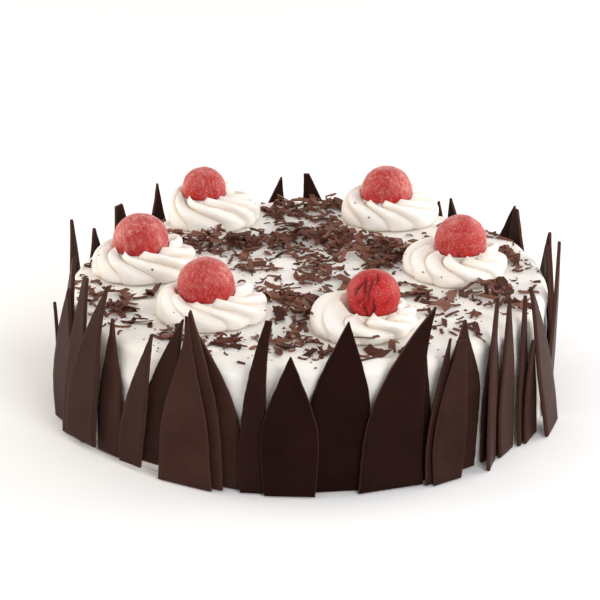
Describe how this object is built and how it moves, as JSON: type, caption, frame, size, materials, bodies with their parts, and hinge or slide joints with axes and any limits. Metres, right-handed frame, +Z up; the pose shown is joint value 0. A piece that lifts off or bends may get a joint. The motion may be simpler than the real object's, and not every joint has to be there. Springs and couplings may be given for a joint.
{
  "type": "black forest cake",
  "caption": "Round black forest cake in whipped cream, with piped rosettes, candied cherries, chocolate shavings and a fence of pointed chocolate shards.",
  "frame": {"origin": "middle of the cake's base, on the surface it rests on", "axes": "+Z up, front of the cake towards -Y, +X to the right of the front"},
  "size_m": [0.2227, 0.2223, 0.0816],
  "materials": {
    "whipped_cream": "soft matte whipped cream, spread on the cake and piped in rosettes",
    "candied_cherry": "frosted red candied fruit with a soft shine",
    "dark_chocolate": "satin dark chocolate with paler cut edges"
  },
  "bodies": {
    "root": {"cream_cake": "whipped_cream", "rosette_1": "whipped_cream", "rosette_2": "whipped_cream", "rosette_3": "whipped_cream", "rosette_4": "whipped_cream", "rosette_5": "whipped_cream", "rosette_6": "whipped_cream", "cherry_1": "candied_cherry", "cherry_2": "candied_cherry", "cherry_3": "candied_cherry", "cherry_4": "candied_cherry", "cherry_5": "candied_cherry", "cherry_6": "candied_cherry", "shard_01": "dark_chocolate", "shard_02": "dark_chocolate", "shard_03": "dark_chocolate", "shard_04": "dark_chocolate", "shard_05": "dark_chocolate", "shard_06": "dark_chocolate", "shard_07": "dark_chocolate", "shard_08": "dark_chocolate", "shard_09": "dark_chocolate", "shard_10": "dark_chocolate", "shard_11": "dark_chocolate", "shard_12": "dark_chocolate", "shard_13": "dark_chocolate", "shard_14": "dark_chocolate", "shard_15": "dark_chocolate", "shard_16": "dark_chocolate", "shard_17": "dark_chocolate", "shard_18": "dark_chocolate", "shard_19": "dark_chocolate", "shard_20": "dark_chocolate", "shard_21": "dark_chocolate", "shard_22": "dark_chocolate", "shard_23": "dark_chocolate", "shard_24": "dark_chocolate", "shard_25": "dark_chocolate", "shard_26": "dark_chocolate", "shard_27": "dark_chocolate", "shard_28": "dark_chocolate", "shard_29": "dark_chocolate", "shard_30": "dark_chocolate", "shard_31": "dark_chocolate", "shard_32": "dark_chocolate", "shard_33": "dark_chocolate", "shard_34": "dark_chocolate", "shard_35": "dark_chocolate", "shard_36": "dark_chocolate", "shard_37": "dark_chocolate", "shard_38": "dark_chocolate", "shard_39": "dark_chocolate", "shard_40": "dark_chocolate", "shard_41": "dark_chocolate", "shard_42": "dark_chocolate", "shard_43": "dark_chocolate"}
  },
  "joints": []
}
